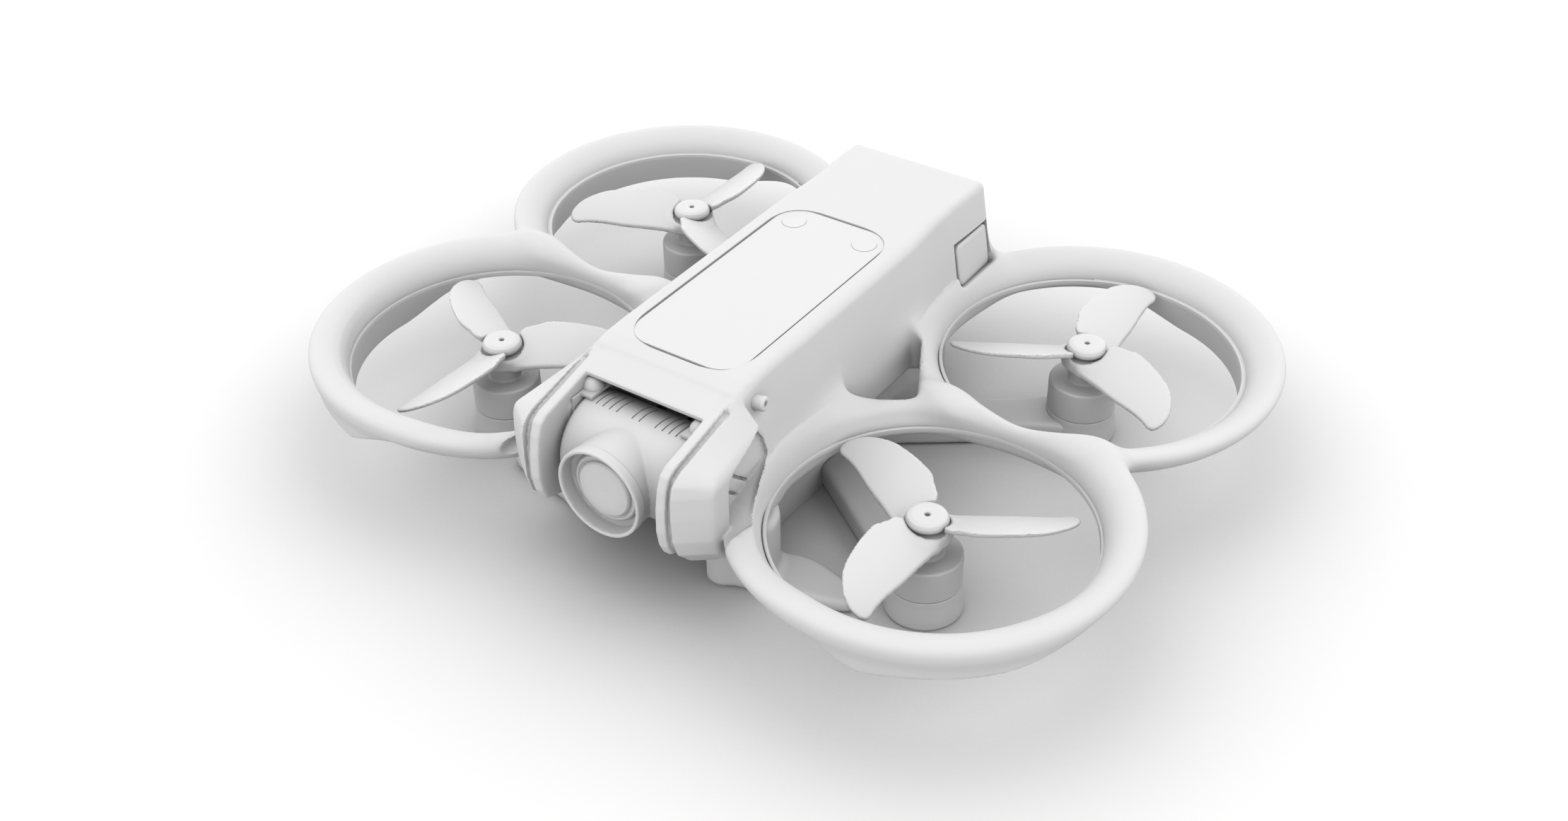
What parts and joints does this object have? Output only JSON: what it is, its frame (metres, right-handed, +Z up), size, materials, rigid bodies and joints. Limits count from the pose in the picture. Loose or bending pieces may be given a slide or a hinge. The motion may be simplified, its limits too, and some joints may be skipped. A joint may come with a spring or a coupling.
{
  "type": "ducted fpv racing drone",
  "caption": "Ducted racing drone with four ringed propellers, a tilting nose camera between cheek guards and a slide-out battery in a flat-topped fuselage.",
  "frame": {"origin": "on the ground plane, midway between the two pairs of rotor hubs and on the mirror plane", "axes": "+Z up, -Y towards the nose and camera, +X across to the right duct pair as seen with the nose towards the viewer"},
  "size_m": [0.245, 0.1904, 0.0564],
  "materials": {
    "frame_plastic": "fine moulded matte",
    "panel_plastic": "smooth satin",
    "camera_shell": "fine moulded matte",
    "battery_plastic": "moulded matte",
    "prop_plastic": "smooth satin",
    "lens_glass": "frosted",
    "lens_parts": "satin",
    "bracket_metal": "satin",
    "motor_metal": "bead blasted",
    "shaft_steel": "ground",
    "screw_steel": "satin",
    "spring_steel": "drawn wire",
    "soft_rubber": "matte",
    "copper_winding": "enamelled wire",
    "contact_metal": "plated",
    "cell_foil": "foil wrapped",
    "circuit_board": "coated board",
    "sink_metal": "anodised",
    "ribbon_film": "film"
  },
  "bodies": {
    "frame": {"airframe_shell": "frame_plastic", "top_panel": "panel_plastic", "panel_discs": "panel_plastic", "nose_plate_left": "frame_plastic", "nose_plate_right": "frame_plastic", "cheek_guard_left": "frame_plastic", "cheek_guard_right": "frame_plastic", "side_peg": "frame_plastic", "camera_bracket": "bracket_metal", "damper_balls": "soft_rubber", "belly_shell": "frame_plastic", "frame_screws": "screw_steel", "sensor_windows": "lens_glass", "front_feet": "frame_plastic", "stators": "copper_winding", "battery_socket": "battery_plastic", "latch_springs": "spring_steel", "main_board": "circuit_board", "heat_sink": "sink_metal", "esc_board": "circuit_board", "camera_ribbon": "ribbon_film", "antennas": "circuit_board", "motor_arm_front_left": "frame_plastic", "motor_base_front_left": "motor_metal", "motor_arm_front_right": "frame_plastic", "motor_base_front_right": "motor_metal", "motor_arm_rear_left": "frame_plastic", "motor_base_rear_left": "motor_metal", "motor_arm_rear_right": "frame_plastic", "motor_base_rear_right": "motor_metal"},
    "camera": {"camera_drum": "camera_shell", "lens_barrel": "camera_shell", "lens_ring": "camera_shell", "lens_glass": "lens_glass", "lens_elements": "lens_parts"},
    "battery": {"battery_case": "battery_plastic", "battery_cells": "cell_foil", "battery_end_cap": "battery_plastic", "battery_contacts": "contact_metal"},
    "power_key": {"power_button": "panel_plastic"},
    "latch_left": {"latch_button_left": "frame_plastic"},
    "latch_right": {"latch_button_right": "frame_plastic"},
    "rotor_front_left": {"motor_bell_front_left": "motor_metal", "motor_shaft_front_left": "shaft_steel", "propeller_front_left": "prop_plastic", "prop_cap_front_left": "prop_plastic"},
    "rotor_front_right": {"motor_bell_front_right": "motor_metal", "motor_shaft_front_right": "shaft_steel", "propeller_front_right": "prop_plastic", "prop_cap_front_right": "prop_plastic"},
    "rotor_rear_left": {"motor_bell_rear_left": "motor_metal", "motor_shaft_rear_left": "shaft_steel", "propeller_rear_left": "prop_plastic", "prop_cap_rear_left": "prop_plastic"},
    "rotor_rear_right": {"motor_bell_rear_right": "motor_metal", "motor_shaft_rear_right": "shaft_steel", "propeller_rear_right": "prop_plastic", "prop_cap_rear_right": "prop_plastic"}
  },
  "joints": [
    {"name": "spin_front_left", "type": "hinge", "parent": "frame", "child": "rotor_front_left", "pos_m": [-0.0688, -0.044, 0.0253], "axis": [0, 0, 1], "continuous": true},
    {"name": "spin_front_right", "type": "hinge", "parent": "frame", "child": "rotor_front_right", "pos_m": [0.0688, -0.044, 0.0253], "axis": [0, 0, 1], "continuous": true},
    {"name": "spin_rear_left", "type": "hinge", "parent": "frame", "child": "rotor_rear_left", "pos_m": [-0.068, 0.044, 0.0253], "axis": [0, 0, 1], "continuous": true},
    {"name": "spin_rear_right", "type": "hinge", "parent": "frame", "child": "rotor_rear_right", "pos_m": [0.068, 0.044, 0.0253], "axis": [0, 0, 1], "continuous": true},
    {"name": "camera_tilt", "type": "hinge", "parent": "frame", "child": "camera", "pos_m": [0, -0.0683, 0.0338], "axis": [1, 0, 0], "range_deg": [-45, 90]},
    {"name": "battery_slide", "type": "slide", "parent": "frame", "child": "battery", "axis": [0, 1, 0], "range_m": [0, 0.07]},
    {"name": "power_press", "type": "slide", "parent": "battery", "child": "power_key", "axis": [0, -1, 0], "range_m": [0, 0.0006], "stiffness_N_per_m": 400, "springref_m": -0.0005},
    {"name": "latch_press_left", "type": "slide", "parent": "frame", "child": "latch_left", "axis": [0.9857, 0, -0.1685], "range_m": [0, 0.0008], "stiffness_N_per_m": 400, "springref_m": -0.0005},
    {"name": "latch_press_right", "type": "slide", "parent": "frame", "child": "latch_right", "axis": [-0.9857, 0, -0.1685], "range_m": [0, 0.0008], "stiffness_N_per_m": 400, "springref_m": -0.0005}
  ]
}
